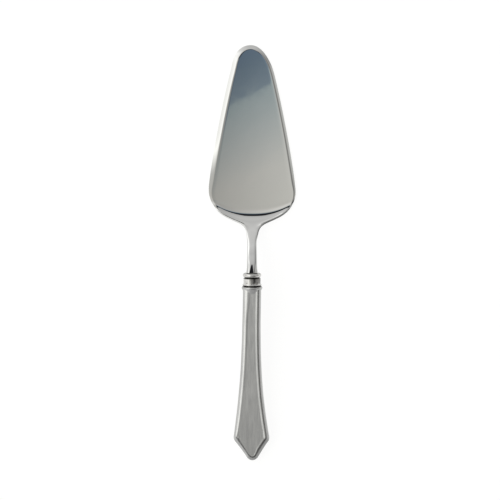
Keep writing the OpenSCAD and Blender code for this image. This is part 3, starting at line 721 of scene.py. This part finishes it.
# From the roof of the hollow down to the parting plane, up the wall, over the bevel and the raised border to
# the panel, as inset and height at the throat
crest = throat_t / 2
bevel_out = Vector((bevel_h, bevel_w)).normalized() * bevel_swell
face_section = [(0, seam_t / 2)]
for share in np.linspace(1, 0, len(bevel_at)):
    bulge = bevel_out * 4 * share * (1 - share)
    face_section.append(((1 - share) * bevel_w - bulge.x, crest - share * bevel_h + bulge.y))
for run, fall in border_rings:
    face_section.append((bevel_w + run, crest - panel_d * fall))
section = [(wall + hollow_in, hollow_roof_h), (wall, hollow_wall_h), (wall, seam_t / 2)]
section += softened(face_section, edge_soft)
taper = (throat_t - end_t) / 2 / handle_l
lift_at, left_lift, right_lift = zip(*panel_lift)
rings = []
for inset, height in section:
    fall = 0 if height <= seam_t / 2 else taper
    depth = crest - height if inset > bevel_w and height >= crest - panel_d else 0
    ring = []
    for p, (x, y) in zip(inset_outline(outline, inset), outline):
        raised = depth * float(np.interp(-y, lift_at, left_lift if x < 0 else right_lift))
        ring.append((p.x, p.y, height + fall * p.y + raised))
    rings.append(ring)
front = skin("handle_front_cast", rings)
bpy.ops.mesh.bisect(plane_co=(0, -front_cut * MM, 0), plane_no=(0, 1, 0), clear_outer=True, use_fill=True)
bpy.ops.mesh.select_all(action="SELECT")
bpy.ops.mesh.normals_make_consistent(inside=False)
bpy.ops.object.mode_set(mode="OBJECT")
lip_rim = [(lip_d / 2 - lip_round + r, v) for r, v in arc((0, -lip_round), lip_round, 90, -25, 9)]
lip_rim += [(throat_w / 2, -lip_l)]
lip_profile = [(mouth_r, 0), *lip_rim, (sunk_r, -sunk_l), (mouth_r, -sunk_l)]
lip = draw_loop("lip", lip_profile)
turn_on_axis(turn_steps)
bpy.ops.object.mode_set(mode="EDIT")
bpy.ops.mesh.select_all(action="SELECT")
bpy.ops.mesh.bisect(plane_co=(0, 0, seam_t / 2 * MM), plane_no=(0, 0, 1), clear_inner=True, use_fill=True)
bpy.ops.mesh.select_all(action="SELECT")
bpy.ops.mesh.normals_make_consistent(inside=False)
bpy.ops.object.mode_set(mode="OBJECT")
bpy.ops.object.select_all(action="DESELECT")
front.select_set(True)
bpy.context.view_layer.objects.active = front
union = front.modifiers.new("lip", "BOOLEAN")
union.operation = "UNION"
union.object = lip
bpy.ops.object.modifier_apply(modifier=union.name)
bpy.data.objects.remove(lip)

bpy.ops.object.select_all(action="DESELECT")
front.select_set(True)
bpy.context.view_layer.objects.active = front
bpy.ops.object.duplicate()
back = bpy.context.object
back.name = "handle_back_cast"
back.scale = (1, 1, -1)
bpy.ops.object.transform_apply(location=True, rotation=True, scale=True)
bpy.ops.object.mode_set(mode="EDIT")
bpy.ops.mesh.select_all(action="SELECT")
bpy.ops.mesh.flip_normals()
bpy.ops.object.mode_set(mode="OBJECT")

# Cast pewter, rubbed along its length: a soft grey sheen with faint streaks, darker where the cloth doesn't
# reach. The streaks and the pits of the casting are drawn coarser than real ones, so that they show.
streak_w, streak_stretch = 1.6, 0.06
mottle_w, mottle_share = 14, 0.35
pit_w, pit_d = 0.8, 0.01
rub_from, rub_to = 0.3, 0.7
cast_rough, rubbed_rough = 0.26, 0.18
patina_reach, patina_from, patina_to = 1.2, 0.75, 0.35
pewter = bpy.data.materials.new("cast_pewter")
pewter.use_nodes = True
tree = pewter.node_tree
shader = tree.nodes["Principled BSDF"]
shader.inputs["Metallic"].default_value = 1
place = add_node(tree, "ShaderNodeTexCoord")
lengthwise = add_node(tree, "ShaderNodeMapping",
                      {"Vector": place.outputs["Object"], "Scale": (1, streak_stretch, 1)})
streaks = add_node(tree, "ShaderNodeTexNoise", {"Vector": lengthwise.outputs[0], "Scale": 1 / (streak_w * MM),
                                                "Detail": 4, "Roughness": 0.6})
mottle = add_node(tree, "ShaderNodeTexNoise",
                  {"Vector": place.outputs["Object"], "Scale": 1 / (mottle_w * MM), "Detail": 3})
both = add_node(tree, "ShaderNodeMix", {0: mottle_share, 2: streaks.outputs[0], 3: mottle.outputs[0]})
tone = add_node(tree, "ShaderNodeValToRGB", {0: both.outputs[0]},
                stops=[(0.35, linear("#b4b4b3")), (0.65, linear("#c3c3c1"))])
hollow = add_node(tree, "ShaderNodeAmbientOcclusion", {"Distance": patina_reach * MM}, samples=8,
                  only_local=True)
patina = add_node(tree, "ShaderNodeMapRange",
                  {0: hollow.outputs["AO"], 1: patina_to, 2: patina_from, 3: 1, 4: 0})
metal = add_node(tree, "ShaderNodeMix", {0: patina.outputs[0], 6: tone.outputs[0], 7: linear("#403f3c")},
                 data_type="RGBA")
tree.links.new(metal.outputs[2], shader.inputs["Base Color"])
sheen = add_node(tree, "ShaderNodeMapRange",
                 {0: both.outputs[0], 1: rub_from, 2: rub_to, 3: cast_rough, 4: rubbed_rough})
tree.links.new(sheen.outputs[0], shader.inputs["Roughness"])
pits = add_node(tree, "ShaderNodeTexNoise",
                {"Vector": place.outputs["Object"], "Scale": 1 / (pit_w * MM), "Detail": 2})
pitted = add_node(tree, "ShaderNodeBump", {"Height": pits.outputs[0], "Distance": pit_d * MM, "Strength": 1})
tree.links.new(pitted.outputs[0], shader.inputs["Normal"])
cast_smooth = math.radians(22)
for casting, node in ((front, "handle_front"), (back, "handle_back")):
    set_on_handle_axis(casting)
    bpy.ops.object.shade_smooth_by_angle(angle=cast_smooth)
    casting.data.materials.clear()
    casting.data.materials.append(pewter)
    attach(casting, "root")
    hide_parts(node)

# Solder seam. A thin line of tin solder runs round the handle's edge, between the two halves, from one side
# of the mouth to the other. It was wiped flush, so that it shows only as a brighter line on the sides.
seam_in = 1.2
seam_out = list(lip_rim)
seam_inner = [(throat_w / 2 - seam_in, v) for _, v in seam_out]
for point, inner in zip(outline[::-1], inset_outline(outline, seam_in)[::-1]):
    if point[1] < -lip_l:
        seam_out.append(point)
        seam_inner.append(tuple(inner))
seam_out += [(-x, y) for x, y in lip_rim[::-1]]
seam_inner += [(seam_in - throat_w / 2, y) for _, y in lip_rim[::-1]]
seam_h = seam_t / 2
seam = skin("solder_line", [[(*a, -seam_h), (*a, seam_h), (*b, seam_h), (*b, -seam_h)]
                            for a, b in zip(seam_out, seam_inner)])
bpy.ops.object.mode_set(mode="OBJECT")
set_on_handle_axis(seam)
seam_smooth = math.radians(30)
bpy.ops.object.shade_smooth_by_angle(angle=seam_smooth)

# Tin solder, wiped while it was soft: a little whiter than the pewter, with cloudy patches and a satin gloss
cloud_w = 1.5
solder = bpy.data.materials.new("tin_solder")
solder.use_nodes = True
tree = solder.node_tree
shader = tree.nodes["Principled BSDF"]
shader.inputs["Metallic"].default_value = 1
shader.inputs["Roughness"].default_value = 0.25
place = add_node(tree, "ShaderNodeTexCoord")
clouds = add_node(tree, "ShaderNodeTexNoise",
                  {"Vector": place.outputs["Object"], "Scale": 1 / (cloud_w * MM), "Detail": 2})
tone = add_node(tree, "ShaderNodeValToRGB", {0: clouds.outputs[0]},
                stops=[(0.3, linear("#b9b8b3")), (0.7, linear("#d6d5d0"))])
tree.links.new(tone.outputs[0], shader.inputs["Base Color"])
seam.data.materials.append(solder)
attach(seam, "root")
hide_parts("solder_seam")

# Filler. Filled resin cement, poured into the hollow handle round the tang. It is out of sight, so it keeps
# the CAD shape. Set hard, it is matt and brown-grey, with the filler's grains just showing.
grain_w = 0.6
cement = bpy.data.materials.new("filled_resin_cement")
cement.use_nodes = True
tree = cement.node_tree
shader = tree.nodes["Principled BSDF"]
shader.inputs["Roughness"].default_value = 0.85
place = add_node(tree, "ShaderNodeTexCoord")
grains = add_node(tree, "ShaderNodeTexNoise",
                  {"Vector": place.outputs["Object"], "Scale": 1 / (grain_w * MM), "Detail": 3})
tone = add_node(tree, "ShaderNodeValToRGB", {0: grains.outputs[0]},
                stops=[(0.35, linear("#6b6459")), (0.65, linear("#8a8274"))])
tree.links.new(tone.outputs[0], shader.inputs["Base Color"])
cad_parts["handle_filler"].material_slots[0].material = cement
